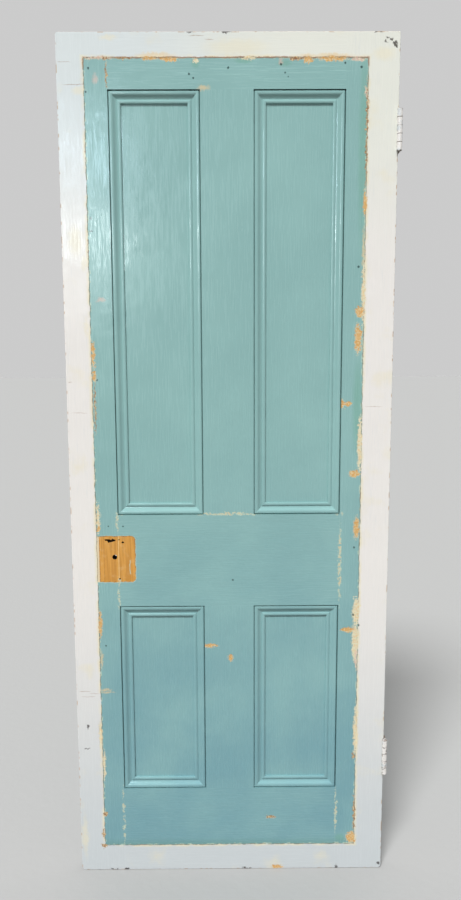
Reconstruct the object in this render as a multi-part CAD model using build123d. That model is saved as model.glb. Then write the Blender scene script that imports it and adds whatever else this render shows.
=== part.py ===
from build123d import *
import os

# A four-panel interior door leaf on two butt hinges, in millimetres.
# The front faces -Y, +X is to the right of the front and +Z is up.
# The origin is on the bottom edge, midway between the two faces and the two long edges.

# Overall size of the leaf.
DOOR_WIDTH = 762.0
DOOR_HEIGHT = 2007.0
DOOR_THICKNESS = 32.0

# Framing, as seen from the front.
LOCK_STILE_WIDTH = 112.6
HINGE_STILE_WIDTH = 119.1
MUNTIN_WIDTH = 120.7
LEFT_OPENING_WIDTH = 204.8
TOP_RAIL_HEIGHT = 121.1
LOCK_RAIL_HEIGHT = 226.8
BOTTOM_RAIL_HEIGHT = 221.8
LOWER_OPENING_HEIGHT = 474.8

# Worn outer corners and eased edges of the framing.
LOCK_TOP_CORNER_RADIUS = 8.0
LOCK_BOTTOM_CORNER_RADIUS = 13.0
HINGE_TOP_CORNER_RADIUS = 3.0
HINGE_BOTTOM_CORNER_RADIUS = 11.0
ARRIS_RADIUS = 1.5

# Flat panels, and the groove in the framing that holds them.
PANEL_THICKNESS = 13.0
PANEL_FACE_CLEARANCE = 0.1
PANEL_EDGE_CLEARANCE = 2.0
GROOVE_DEPTH = 12.0

# Mortise and tenon joints, with a haunch beside each tenon and a wedge at each of its edges.
TENON_THICKNESS = 14.0
TENON_SPACING = 64.0
HAUNCH_DEPTH = 26.0
END_HAUNCH_HEIGHT = 36.0
WEDGE_LENGTH = 60.0
WEDGE_THICKNESS = 6.0
MUNTIN_TENON_LENGTH = 45.0
MUNTIN_TENON_END_CLEARANCE = 2.0

# Planted moulding: widths run inwards from the framing, heights rise from the panel.
MOULDING_SETBACK = 0.9
MOULDING_GAP_WIDTH = 1.8
MOULDING_GAP_DEPTH = 4.0
FILLET_EDGE_WIDTH = 1.4
FILLET_EDGE_DROP = 1.0
FILLET_WIDTH = 2.4
OGEE_CROWN_WIDTH = 5.6
OGEE_CROWN_DROP = 2.3
OGEE_HOLLOW_WIDTH = 8.0
OGEE_FOOT_HEIGHT = 2.4
BEAD_STEP = 0.9
BEAD_WIDTH = 8.2
BEAD_RISE = 1.3

# Hole through the lock stile for the spindle of a knob, placed from the middle of the rail's joint.
SPINDLE_HOLE_RADIUS = 6.0
SPINDLE_FROM_JOINT = 9.6
SPINDLE_ABOVE_RAIL_MIDDLE = 10.0

# Wood torn out round the lock's old screws. Each outline runs from the joint, and from the rail's middle.
TEAR_DEPTH = 5.0
LOCK_STILE_TEAR = [
    (-34.2, 52.5), (-30.3, 54.5), (-21.5, 54.5), (-17.5, 52.1), (-14.6, 56.0), (-6.3, 52.5),
    (-7.7, 49.6), (-17.5, 47.2), (-23.9, 45.2), (-27.3, 50.1), (-32.2, 50.6),
]
LOCK_RAIL_TEARS = [
    [(7.0, 45.5), (10.0, 50.0), (12.0, 48.0), (14.2, 44.8), (9.0, 44.0)],
    [(0, 51.8), (0, 54.0), (2.0, 54.6), (3.4, 53.0), (2.0, 51.6)],
    [(0, -46.0), (0, -42.5), (2.0, -41.8), (3.7, -43.5), (2.6, -46.0)],
]

# Butt hinges. A leaf's width is taken from the pin's axis.
HINGE_LENGTH = 89.0
UPPER_HINGE_FROM_TOP = 209.5
LOWER_HINGE_FROM_BOTTOM = 306.5
LEAF_WIDTH = 33.0
LEAF_THICKNESS = 3.0
LEAF_GAP = 2.0
KNUCKLE_COUNT = 5
KNUCKLE_RADIUS = 6.2
KNUCKLE_SIDE_CLEARANCE = 0.5
KNUCKLE_END_CLEARANCE = 0.4
PIN_RADIUS = 2.6
PIN_CLEARANCE = 0.05

# Countersunk screws: a pair near the leaf's free edge, and one between them nearer the knuckles.
SCREW_LENGTH = 38.0
SCREW_RADIUS = 1.9
SCREW_HEAD_RADIUS = 4.2
SCREW_HEAD_SINK = 0.2
SCREW_CLEARANCE = 0.5
COUNTERSINK_CLEARANCE = 0.3
PILOT_CLEARANCE = 0.1
OUTER_SCREWS_FROM_PIN = 26.0
OUTER_SCREW_SPACING = 66.0
MIDDLE_SCREW_FROM_PIN = 15.0

# How near two places are when they count as the same.
SAME_PLACE = 0.01

# Places that follow from the sizes above.
GROOVE_WIDTH = PANEL_THICKNESS + 2 * PANEL_FACE_CLEARANCE
LOCK_EDGE = -DOOR_WIDTH / 2
HINGE_EDGE = DOOR_WIDTH / 2
LOCK_STILE_INNER = LOCK_EDGE + LOCK_STILE_WIDTH
HINGE_STILE_INNER = HINGE_EDGE - HINGE_STILE_WIDTH
MUNTIN_LEFT = LOCK_STILE_INNER + LEFT_OPENING_WIDTH
MUNTIN_RIGHT = MUNTIN_LEFT + MUNTIN_WIDTH
LOCK_RAIL_BOTTOM = BOTTOM_RAIL_HEIGHT + LOWER_OPENING_HEIGHT
LOCK_RAIL_TOP = LOCK_RAIL_BOTTOM + LOCK_RAIL_HEIGHT
TOP_RAIL_BOTTOM = DOOR_HEIGHT - TOP_RAIL_HEIGHT
SPINDLE_X = LOCK_STILE_INNER - SPINDLE_FROM_JOINT
LOCK_RAIL_MIDDLE = (LOCK_RAIL_BOTTOM + LOCK_RAIL_TOP) / 2
SPINDLE_Z = LOCK_RAIL_MIDDLE + SPINDLE_ABOVE_RAIL_MIDDLE
PIN_X = HINGE_EDGE + LEAF_GAP / 2
PIN_Y = -DOOR_THICKNESS / 2 - KNUCKLE_RADIUS - KNUCKLE_SIDE_CLEARANCE

# Each rail: its bottom, its top, whether a panel enters it from below and from above, its tenons.
RAILS = {
    "top_rail": (TOP_RAIL_BOTTOM, DOOR_HEIGHT, True, False, 1),
    "lock_rail": (LOCK_RAIL_BOTTOM, LOCK_RAIL_TOP, True, True, 2),
    "bottom_rail": (0.0, BOTTOM_RAIL_HEIGHT, False, True, 2),
}
# Each opening: its left, right, bottom and top.
OPENINGS = {
    "upper_left": (LOCK_STILE_INNER, MUNTIN_LEFT, LOCK_RAIL_TOP, TOP_RAIL_BOTTOM),
    "upper_right": (MUNTIN_RIGHT, HINGE_STILE_INNER, LOCK_RAIL_TOP, TOP_RAIL_BOTTOM),
    "lower_left": (LOCK_STILE_INNER, MUNTIN_LEFT, BOTTOM_RAIL_HEIGHT, LOCK_RAIL_BOTTOM),
    "lower_right": (MUNTIN_RIGHT, HINGE_STILE_INNER, BOTTOM_RAIL_HEIGHT, LOCK_RAIL_BOTTOM),
}


def slab(outline, thickness):
    """Give an outline drawn in front view its thickness, half to each side of the middle plane."""
    return extrude(Plane.XZ * outline, amount=thickness / 2, both=True)


def board(left, right, bottom, top, thickness):
    """A rectangular slab between the given edges."""
    centre = Pos((left + right) / 2, (bottom + top) / 2)
    return slab(centre * Rectangle(abs(right - left), top - bottom), thickness)


def ease(solid, belongs):
    """Round the arrises of the front and back faces whose centre passes the test."""
    arrises = []
    for edge in solid.edges():
        middle = edge.center()
        if abs(abs(middle.Y) - DOOR_THICKNESS / 2) < SAME_PLACE and belongs(middle):
            arrises.append(edge)
    return fillet(arrises, ARRIS_RADIUS)


def haunch_span(rail):
    """The height that a rail's haunch fills: the whole rail, less its grooves."""
    bottom, top, groove_below, groove_above, _ = RAILS[rail]
    low = bottom + (GROOVE_DEPTH if groove_below else 0)
    high = top - (GROOVE_DEPTH if groove_above else 0)
    return low, high


def tenon_spans(rail):
    """The bottom and top of each tenon on one end of a rail."""
    bottom, top, groove_below, groove_above, count = RAILS[rail]
    low = bottom + (GROOVE_DEPTH if groove_below else END_HAUNCH_HEIGHT)
    high = top - (GROOVE_DEPTH if groove_above else END_HAUNCH_HEIGHT)
    height = (high - low - (count - 1) * TENON_SPACING) / count
    return [
        (low + index * (height + TENON_SPACING), low + index * (height + TENON_SPACING) + height)
        for index in range(count)
    ]


def mortise(inner, outer, low, high):
    """A through mortise, flared towards the outer edge to take the wedges."""
    flare = outer - WEDGE_LENGTH if outer > inner else outer + WEDGE_LENGTH
    outline = Polygon(
        (inner, low),
        (flare, low),
        (outer, low - WEDGE_THICKNESS),
        (outer, high + WEDGE_THICKNESS),
        (flare, high),
        (inner, high),
        align=None,
    )
    return slab(outline, TENON_THICKNESS)


def wedges(inner, outer):
    """The wedges in one stile, one at the top and one at the bottom edge of every tenon."""
    flare = outer - WEDGE_LENGTH if outer > inner else outer + WEDGE_LENGTH
    pieces = []
    for rail in RAILS:
        for low, high in tenon_spans(rail):
            for edge, head in ((low, low - WEDGE_THICKNESS), (high, high + WEDGE_THICKNESS)):
                outline = Polygon((flare, edge), (outer, edge), (outer, head), align=None)
                pieces.append(slab(outline, TENON_THICKNESS))
    return Compound(children=pieces)


def spindle_hole():
    """The hole right through the door at the lock."""
    along_y = Rot(90, 0, 0) * Cylinder(SPINDLE_HOLE_RADIUS, 2 * DOOR_THICKNESS)
    return Pos(SPINDLE_X, 0, SPINDLE_Z) * along_y


def tear(outline):
    """A shallow hole in the front face, with the given outline."""
    points = [(LOCK_STILE_INNER + along, LOCK_RAIL_MIDDLE + up) for along, up in outline]
    through = slab(Polygon(*points, align=None), 2 * TEAR_DEPTH)
    return Pos(0, -DOOR_THICKNESS / 2, 0) * through


def worn_outline(inner, outer, top_radius, bottom_radius):
    """A stile in front view, with its two outer corners worn round."""
    outline = Pos((inner + outer) / 2, DOOR_HEIGHT / 2) * Rectangle(abs(outer - inner), DOOR_HEIGHT)
    for height, radius in ((0, bottom_radius), (DOOR_HEIGHT, top_radius)):
        corner = min(outline.vertices(), key=lambda v: abs(v.X - outer) + abs(v.Y - height))
        outline = fillet(corner, radius)
    return outline


def stile(inner, outer, top_radius, bottom_radius):
    """A stile with worn outer corners, a groove along its inner edge and the rails' mortises."""
    body = board(inner, outer, 0, DOOR_HEIGHT, DOOR_THICKNESS)
    body = ease(body, lambda middle: abs(middle.X - inner) > SAME_PLACE)
    body &= slab(worn_outline(inner, outer, top_radius, bottom_radius), DOOR_THICKNESS)

    inwards = 1 if outer > inner else -1
    body -= board(inner, inner + inwards * GROOVE_DEPTH, 0, DOOR_HEIGHT, GROOVE_WIDTH)
    for rail in RAILS:
        low, high = haunch_span(rail)
        body -= board(inner, inner + inwards * HAUNCH_DEPTH, low, high, TENON_THICKNESS)
        for low, high in tenon_spans(rail):
            body -= mortise(inner, outer, low, high)
    return body


def rail(name):
    """A rail with its haunched tenons, its panel grooves and its mortises for the muntins."""
    bottom, top, groove_below, groove_above, _ = RAILS[name]
    left, right = LOCK_STILE_INNER, HINGE_STILE_INNER
    body = board(left, right, bottom, top, DOOR_THICKNESS)
    if not groove_below:
        body = ease(body, lambda middle: abs(middle.Z - bottom) < SAME_PLACE)
    if not groove_above:
        body = ease(body, lambda middle: abs(middle.Z - top) < SAME_PLACE)

    low, high = haunch_span(name)
    body += board(left - HAUNCH_DEPTH, right + HAUNCH_DEPTH, low, high, TENON_THICKNESS)
    for low, high in tenon_spans(name):
        body += board(LOCK_EDGE, HINGE_EDGE, low, high, TENON_THICKNESS)

    mortise_depth = MUNTIN_TENON_LENGTH + MUNTIN_TENON_END_CLEARANCE
    tenon_left, tenon_right = MUNTIN_LEFT + GROOVE_DEPTH, MUNTIN_RIGHT - GROOVE_DEPTH
    if groove_below:
        body -= board(left, right, bottom, bottom + GROOVE_DEPTH, GROOVE_WIDTH)
        body -= board(tenon_left, tenon_right, bottom, bottom + mortise_depth, TENON_THICKNESS)
    if groove_above:
        body -= board(left, right, top - GROOVE_DEPTH, top, GROOVE_WIDTH)
        body -= board(tenon_left, tenon_right, top - mortise_depth, top, TENON_THICKNESS)
    return body


def muntin(bottom, top):
    """A muntin with a stub tenon at each end and a groove along each side."""
    body = board(MUNTIN_LEFT, MUNTIN_RIGHT, bottom, top, DOOR_THICKNESS)
    tenon_left, tenon_right = MUNTIN_LEFT + GROOVE_DEPTH, MUNTIN_RIGHT - GROOVE_DEPTH
    tenon_bottom, tenon_top = bottom - MUNTIN_TENON_LENGTH, top + MUNTIN_TENON_LENGTH
    body += board(tenon_left, tenon_right, tenon_bottom, tenon_top, TENON_THICKNESS)
    body -= board(MUNTIN_LEFT, tenon_left, bottom, top, GROOVE_WIDTH)
    body -= board(tenon_right, MUNTIN_RIGHT, bottom, top, GROOVE_WIDTH)
    return body


def panel(left, right, bottom, top):
    """A flat panel that enters the grooves all round, with room left to swell."""
    entry = GROOVE_DEPTH - PANEL_EDGE_CLEARANCE
    return board(left - entry, right + entry, bottom - entry, top + entry, PANEL_THICKNESS)


def moulding_profile():
    """Section of the planted moulding: a fillet behind a narrow gap, an ogee, and a bead that steps up from it."""
    height = (DOOR_THICKNESS - PANEL_THICKNESS) / 2 - MOULDING_SETBACK
    fillet_start = MOULDING_GAP_WIDTH + FILLET_EDGE_WIDTH
    ogee_start = fillet_start + FILLET_WIDTH
    ogee_middle = ogee_start + OGEE_CROWN_WIDTH
    ogee_end = ogee_middle + OGEE_HOLLOW_WIDTH
    bead_end = ogee_end + BEAD_WIDTH
    bead_foot = OGEE_FOOT_HEIGHT + BEAD_STEP
    fillet_band = Polyline(
        (bead_end, bead_foot),
        (bead_end, 0),
        (0, 0),
        (0, height - MOULDING_GAP_DEPTH),
        (MOULDING_GAP_WIDTH, height - FILLET_EDGE_DROP),
        (fillet_start, height),
        (ogee_start, height),
    )
    crown = TangentArc((ogee_start, height), (ogee_middle, height - OGEE_CROWN_DROP), tangent=(1, 0))
    hollow = TangentArc(crown @ 1, (ogee_end, OGEE_FOOT_HEIGHT), tangent=crown % 1)
    step = Line(hollow @ 1, (ogee_end, bead_foot))
    bead = SagittaArc(step @ 1, (bead_end, bead_foot), BEAD_RISE)
    return make_face([fillet_band, crown, hollow, step, bead]), bead_end


def moulding(length):
    """A strip of moulding along +X with its back on the X axis, mitred inwards at both ends."""
    profile, width = moulding_profile()
    strip = extrude(Plane.YZ * profile, amount=length)
    mitres = Polygon((0, 0), (length, 0), (length - width, width), (width, width), align=None)
    return strip & extrude(mitres, amount=DOOR_THICKNESS)


def opening_mouldings(left, right, bottom, top, outwards):
    """The four strips on one face of a panel, named by side. Outwards is -1 in front, 1 behind."""
    face = outwards * PANEL_THICKNESS / 2
    first, second = (left, right) if outwards < 0 else (right, left)
    corners = [(first, bottom), (second, bottom), (second, top), (first, top)]
    sides = ["bottom", "right", "top", "left"] if outwards < 0 else ["bottom", "left", "top", "right"]
    strips = {}
    for index, side in enumerate(sides):
        start = Vector(corners[index][0], face, corners[index][1])
        end = Vector(corners[(index + 1) % 4][0], face, corners[(index + 1) % 4][1])
        run = end - start
        place = Plane(origin=start, x_dir=run, z_dir=(0, outwards, 0))
        strips[side] = place * moulding(run.length)
    return strips


def countersunk(head_radius, radius, length):
    """A countersunk form pointing along -X, with its head's flat face at the origin."""
    outline = Polygon(
        (0, 0),
        (0, head_radius),
        (radius - head_radius, radius),
        (-length, radius),
        (-length, 0),
        align=None,
    )
    return revolve(outline, Axis.X)


def screw_places():
    """Where the screws lie on a leaf: distance from the pin, and height from the middle."""
    reach = OUTER_SCREW_SPACING / 2
    return [(OUTER_SCREWS_FROM_PIN, -reach), (MIDDLE_SCREW_FROM_PIN, 0), (OUTER_SCREWS_FROM_PIN, reach)]


def hinge_leaf(side, first_knuckle):
    """One leaf about the pin's axis: side -1 is let into the door, 1 goes on the lining."""
    inner_face = side * LEAF_GAP / 2
    plate = Pos(inner_face + side * LEAF_THICKNESS / 2, LEAF_WIDTH / 2)
    plan = Circle(KNUCKLE_RADIUS) + plate * Rectangle(LEAF_THICKNESS, LEAF_WIDTH)
    body = extrude(plan, amount=HINGE_LENGTH / 2, both=True)

    pitch = HINGE_LENGTH / KNUCKLE_COUNT
    room = Cylinder(KNUCKLE_RADIUS + KNUCKLE_SIDE_CLEARANCE, pitch + KNUCKLE_END_CLEARANCE)
    for index in range(1 - first_knuckle, KNUCKLE_COUNT, 2):
        body -= Pos(0, 0, (index + 0.5) * pitch - HINGE_LENGTH / 2) * room
    body -= Cylinder(PIN_RADIUS + PIN_CLEARANCE, 2 * HINGE_LENGTH)

    mouth = SCREW_HEAD_RADIUS + COUNTERSINK_CLEARANCE
    hole = countersunk(mouth, SCREW_RADIUS + SCREW_CLEARANCE, 2 * LEAF_THICKNESS)
    for distance, height in screw_places():
        turned = hole if side < 0 else Rot(0, 0, 180) * hole
        body -= Pos(inner_face, distance, height) * turned
    return body


def hinge_recess():
    """The room a hinge needs in the stile: a gain for its leaf and a pilot hole for each screw."""
    gain_depth = -PIN_Y + LEAF_WIDTH
    centre = Pos(-LEAF_GAP / 2 - LEAF_THICKNESS / 2, LEAF_WIDTH - gain_depth / 2, 0)
    room = centre * Box(LEAF_THICKNESS, gain_depth, HINGE_LENGTH)
    pilot_depth = SCREW_HEAD_SINK + SCREW_LENGTH + PILOT_CLEARANCE
    pilot = Rot(0, 90, 0) * Cylinder(SCREW_RADIUS + PILOT_CLEARANCE, 2 * pilot_depth)
    for distance, height in screw_places():
        room += Pos(-LEAF_GAP / 2, distance, height) * pilot
    return room


nodes = {}

lock_stile = stile(LOCK_STILE_INNER, LOCK_EDGE, LOCK_TOP_CORNER_RADIUS, LOCK_BOTTOM_CORNER_RADIUS)
nodes["lock_stile"] = lock_stile - spindle_hole() - tear(LOCK_STILE_TEAR)
hinge_stile = stile(HINGE_STILE_INNER, HINGE_EDGE, HINGE_TOP_CORNER_RADIUS, HINGE_BOTTOM_CORNER_RADIUS)
nodes["top_rail"] = rail("top_rail")
nodes["lock_rail"] = rail("lock_rail") - spindle_hole()
for outline in LOCK_RAIL_TEARS:
    nodes["lock_rail"] -= tear(outline)
nodes["bottom_rail"] = rail("bottom_rail")
nodes["upper_muntin"] = muntin(LOCK_RAIL_TOP, TOP_RAIL_BOTTOM)
nodes["lower_muntin"] = muntin(BOTTOM_RAIL_HEIGHT, LOCK_RAIL_BOTTOM)
nodes["lock_stile_wedges"] = wedges(LOCK_STILE_INNER, LOCK_EDGE)
nodes["hinge_stile_wedges"] = wedges(HINGE_STILE_INNER, HINGE_EDGE)

for name, opening in OPENINGS.items():
    nodes[f"{name}_panel"] = panel(*opening)
    for face, outwards in (("front", -1), ("back", 1)):
        for side, strip in opening_mouldings(*opening, outwards).items():
            nodes[f"{face}_{name}_moulding_{side}"] = strip

fixed_leaves, swinging_leaves, pins, screws = [], [], [], []
for hinge_height in (LOWER_HINGE_FROM_BOTTOM, DOOR_HEIGHT - UPPER_HINGE_FROM_TOP):
    place = Pos(PIN_X, PIN_Y, hinge_height)
    hinge_stile -= place * hinge_recess()
    fixed_leaves.append(place * hinge_leaf(1, 0))
    swinging_leaves.append(place * hinge_leaf(-1, 1))
    pins.append(place * Cylinder(PIN_RADIUS, HINGE_LENGTH))
    for distance, offset in screw_places():
        head = place * Pos(-LEAF_GAP / 2 - SCREW_HEAD_SINK, distance, offset)
        screws.append(head * countersunk(SCREW_HEAD_RADIUS, SCREW_RADIUS, SCREW_LENGTH))
nodes["hinge_stile"] = hinge_stile
nodes["fixed_hinge_leaves"] = Compound(children=fixed_leaves)
nodes["swinging_hinge_leaves"] = Compound(children=swinging_leaves)
nodes["hinge_pins"] = Compound(children=pins)
nodes["hinge_screws"] = Compound(children=screws)

os.makedirs("parts", exist_ok=True)
for name, shape in nodes.items():
    export_step(shape, f"parts/{name}.step")
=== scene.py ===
# The looks of an old four-panel interior door: brushed gloss paint, green within and white round the rim.
import math

import bpy
from mathutils import Matrix, Vector


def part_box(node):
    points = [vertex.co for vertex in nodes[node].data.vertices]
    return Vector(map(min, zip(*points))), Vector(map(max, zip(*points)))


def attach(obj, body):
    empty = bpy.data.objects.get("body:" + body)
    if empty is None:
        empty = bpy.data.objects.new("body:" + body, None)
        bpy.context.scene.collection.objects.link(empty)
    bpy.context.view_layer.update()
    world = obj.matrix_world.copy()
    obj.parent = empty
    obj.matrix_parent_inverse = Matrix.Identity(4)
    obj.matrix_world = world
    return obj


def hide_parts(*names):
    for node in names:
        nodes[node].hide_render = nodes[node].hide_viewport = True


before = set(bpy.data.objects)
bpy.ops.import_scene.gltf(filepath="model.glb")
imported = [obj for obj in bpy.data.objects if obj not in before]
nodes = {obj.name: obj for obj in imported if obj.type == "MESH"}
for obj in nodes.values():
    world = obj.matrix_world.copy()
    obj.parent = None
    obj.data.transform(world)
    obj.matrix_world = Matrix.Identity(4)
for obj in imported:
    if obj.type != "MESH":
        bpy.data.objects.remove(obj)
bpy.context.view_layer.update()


def colour(red, green, blue):
    """A colour given from 0 to 255 as seen, in the linear values that shaders take."""
    levels = [level / 255 for level in (red, green, blue)]
    linear = [level / 12.92 if level < 0.04045 else ((level + 0.055) / 1.055) ** 2.4 for level in levels]
    return (*linear, 1.0)


def metres(marks):
    """Marks measured in millimetres, in metres."""
    return [tuple(value / 1000 for value in mark) for mark in marks]


# The paint
GREEN = colour(141, 183, 180)
GREEN_PALE = colour(154, 196, 192)
# Laid low on the door, this bluer green is painted shade
GREEN_LOW_SHADE = colour(121, 166, 174)
GREEN_LEAF = colour(118, 172, 152)
GREEN_DULL = colour(112, 156, 150)
# Also laid as painted shade in the crack round the openings
GREEN_DARK = colour(42, 74, 72)
WHITE = colour(240, 236, 231)
# At the top left this cool white is in part a painted bluish sheen
WHITE_COOL_AND_SHEEN = colour(222, 229, 229)
WHITE_WARM = colour(234, 235, 225)
# Laid low on the door, this grey is painted shade; in brush streaks and on the hinges it is a tone of the
# paint
WHITE_GREY = colour(209, 215, 217)

# What shows where it has come off
SKIM = colour(200, 218, 196)
CREAM = colour(238, 229, 198)
OLIVE = colour(112, 108, 76)
OCHRE = colour(220, 160, 76)
OCHRE_PALE = colour(236, 204, 150)
OCHRE_DEEP = colour(196, 136, 58)
BARE_PALE = colour(246, 204, 136)
PINK = colour(222, 186, 170)
RUST = colour(150, 100, 62)
DARK_WOOD_AND_HOLE_SHADE = colour(40, 26, 18)
# Also laid as painted shade on the sides of the holes
PINE = colour(186, 146, 100)
PINE_DARK = colour(142, 104, 66)
IRON = colour(112, 106, 99)
IRON_RUST = colour(116, 74, 46)

# The floor: as it is seen, and as it lights the door
FLOOR_PALE = colour(172, 172, 171)
FLOOR_DEEP = colour(114, 113, 112)
FLOOR_WIDTH = 120

# The high light: its power, its width, its height and its turn in degrees, and its colour
HIGH_LIGHT_POWER = 3.35
HIGH_LIGHT_SPREAD = 16
HIGH_LIGHT_ELEVATION = 53
HIGH_LIGHT_TURN = -22
HIGH_LIGHT_COLOUR = (0.985, 0.995, 1.0)

# The light from all round, what it has more of behind the door, and the level at which the backdrop is seen
FILL_LIGHT = 0.47
BACK_LIGHT = 0.38
BACKDROP_LEVEL = 0.60

# A window that the gloss paint mirrors: the x and y of its middle, its turn in degrees and its width
WINDOW_PLACE = (-1.15, -3.3)
WINDOW_TURN = -14
WINDOW_WIDTH = 0.8

# Its panes: the foot and head of each, the light from it, and the light's colour
WINDOW_PANES = (
    (1.64, 1.82, 26, (0.84, 0.98, 1.00)),
    (1.98, 2.32, 66, (0.86, 0.98, 1.00)),
    (2.46, 2.92, 44, (0.68, 0.87, 1.00)),
)

# The leaf: its front face, its low and high corners, and the joint beside the lock stile
FRONT_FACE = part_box("lock_stile")[0][1]
LEAF = (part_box("lock_stile")[0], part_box("hinge_stile")[1])
LOCK_STILE_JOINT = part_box("lock_stile")[1][0]
LOCK_MEMBERS = ("lock_stile", "lock_rail")

# The camera: where the photograph was taken, its turn in degrees, its lens and its sensor in millimetres
CAMERA_PLACE = (-0.0069, FRONT_FACE - 1.6421, 1.2851)
CAMERA_TURN = (82.84, 0.24, -0.33)
CAMERA_LENS = 28.0
CAMERA_SENSOR = 36.0

# The green field that a sheet once covered, while the rim round it was painted white, in metres
FIELD_LEFT = -0.3205
FIELD_RIGHT = 0.3110
FIELD_BOTTOM = 0.0685
FIELD_TOP = 1.9530

# The bare place that the rim lock left: its middle, half width, half height and corner, in metres
LOCK_PLACE = (-0.2815, 0.8150)
LOCK_REACH = (0.0535, 0.0570)
LOCK_CORNER = 0.0100

# The seam down its left side, how far left of the seam it is all cream, and how deep in it a rust line runs
LOCK_SEAM = FIELD_LEFT + 0.0060
LOCK_CREAM = 0.0015
LOCK_LINE_DEPTH = 0.0008

# Thin lines on it and round it, each by the half widths at which it ends and at which it is full, in metres
JOINT_LINE = (0.0016, 0.0005)
SEAM_LINE = (0.0011, 0.0003)
RUST_LINE = (0.0015, 0.0004)
SKIM_ROUND_LOCK = (0.0028, 0.0008)
SCRATCH_LINE = (0.0018, 0.0006)

# A curved scratch on it: its middle, how far up and down it ends and is full, its bow, and how far it wanders
SCRATCH_MIDDLE = (-0.2425, 0.795)
SCRATCH_REACH = (0.019, 0.015)
SCRATCH_BOW = -5.0
SCRATCH_WANDER = 0.003

# By the depth within the field: where the cream fringe begins and is full, and where green turns to white
CREAM_FRINGE = (-0.009, -0.001)
GREEN_TO_WHITE = (0.0003, -0.0003)

# A skim of paint just inside the green: the depth of its middle, and the half widths as of the lines above
SKIM_DEPTH = 0.0016
SKIM_LINE = (0.0022, 0.0010)

# The brown ledge on the edge: its half width, and what the head of the field adds to it
LEDGE_REACH = 0.0011
LEDGE_REACH_AT_HEAD = 0.0012

# How far below the field's top its head begins and is full, and how far above its bottom the foot is duller
HEAD_OF_FIELD = (0.03, 0.01)
FOOT_OF_FIELD = 0.022

# Heights between which the green turns bluer, going down, and the white greyer: painted shade, as if less
# light reached the foot
BLUER_SHADE_DOWN = (1.25, 0.1)
GREYER_SHADE_DOWN = (0.8, 0.0)

# Heights over which the white takes its tone at the head, and where in x that goes from cool to warm; the
# cool at the top left is in part a painted bluish sheen
HEAD_TONE = (1.45, 1.85)
COOL_TO_WARM = (-0.25, 0.15)

# How far behind the front face the marks on it end and are full
MARKS_END = (0.0016, 0.0012)

# How far under a face the sides of a hole begin to turn dark with painted shade, and are all dark
HOLE_SIDES = (0.0006, 0.0012)

# How far from the leaf's arrises their wear ends and is full, and the same for the bare wood of foot and head
ARRIS_WEAR = (0.0034, 0.0008)
FOOT_WOOD = (0.0010, 0.0004)
HEAD_WOOD = (0.0008, 0.0003)

# Outlines of chips and flakes, where 1 is the edge of a mark: where the paint is whole, and where it is gone
CHIP_OUTLINE = (1.10, 0.86)
FLAKE_OUTLINE = (1.15, 0.8)

# The pale broken edge of a chip: how far to each side of its outline it ends and is full
CHIP_EDGE = (0.20, 0.04)

# Hinges: the pin's x and y, the middle of each hinge, and the height of one knuckle, in metres
PIN_PLACE = (0.382, -0.0227)
HINGE_HEIGHTS = (0.3065, 1.7975)
KNUCKLE_PITCH = 0.0178

# How far behind the pin the knuckles end and the flats of the leaves begin, in metres
KNUCKLES_END = 0.0065
FLATS_BEGIN = 0.0075

# Screws: the plane of their heads, and each one's distance from the pin and height from the hinge's middle
SCREW_FACE = 0.3808
SCREW_PLACES = ((0.026, -0.033), (0.015, 0.0), (0.026, 0.033))

# A screw's head: its radius, the height of its rim, and its slot
SCREW_HEAD = 0.0042
SCREW_RIM = 0.0002
SCREW_SIDES = 32
SLOT_WIDTH = 0.0010
SLOT_DEPTH = 0.0011

# Under the head, each step back and how far it narrows: the cone, the shank, the start of the point, its end
SCREW_STEPS = ((0.0022, 0.452), (0.0276, 1.0), (0.0050, 0.75), (0.0030, 0.15))

# The turn of the first slot in degrees, and what each next screw and the next hinge add to it
SLOT_TURN = 25
SLOT_TURN_PER_SCREW = 47
SLOT_TURN_PER_HINGE = 80

# A face looks along the screw where its normal's x is past this
ALONG_THE_SCREW = 0.9

# Edges that turn by more than this many degrees stay sharp
SMOOTH_UNDER = 35

# The painted shade in the crack round an opening: how far it reaches to each side of the opening's edge, in
# metres
GAP_SIDE = 0.0013

# How dark that painted shade is at the sides, how much darker at the head, where the light from above casts
# it, how much lighter at the foot, and how near them
GAP_DARK = 0.50
GAP_SHADE_AT_HEAD = 0.38
GAP_SHADE_LESS_AT_FOOT = 0.32
GAP_CHANGE = (0.004, 0.002)

# How outlines are shaken, coarse and then fine: cycles to the metre, and how far in metres
WAVERING = ((60.0, 0.005), (420.0, 0.003))
RAGGED = ((110.0, 0.014), (460.0, 0.010))

# Scales in x, y and z that draw a pattern out along the brush or along the grain
ALONG_Z = (1.0, 1.0, 0.05)
ALONG_X = (0.05, 1.0, 1.0)
LOCK_GRAIN = (1.0, 1.0, 0.04)

# Relief of the paint, in millimetres: the white coat over the green, the ledge where they meet and the chips
WHITE_COAT_RELIEF = 0.25
LEDGE_RELIEF = 0.3
CHIP_DEPTH = 0.35

# Brush marks in the green, in the white rim, on a panel and on the wedges
GREEN_BRUSH_RELIEF = 0.26
WHITE_BRUSH_RELIEF = 0.11
PANEL_BRUSH_RELIEF = 0.13
WEDGE_BRUSH_RELIEF = 0.34

# Slow waves of the wood, and lumps in the old paint of the framing and of the rest
WAVE_RELIEF = 1.2
FRAMING_LUMPS = 0.35
FINER_LUMPS = 0.25

# Thick paint on the hinges, and how deep its chips go
HINGE_LUMPS = 0.9
HINGE_CHIP_DEPTH = 0.3

# Roughness: of the brightest gloss paint, what its dull streaks and its wear add, and what lost paint adds
GLOSS = 0.06
DULL_STREAKS = 0.18
DULL_WEAR = 0.12
BARE_ROUGHNESS = 0.35
HINGE_GLOSS = 0.24

# How strongly the green and the white paint mirror
GREEN_MIRROR = 0.5
WHITE_MIRROR = 0.2

# All marks on the front are given as x, z, half width and half height, in millimetres

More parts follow.
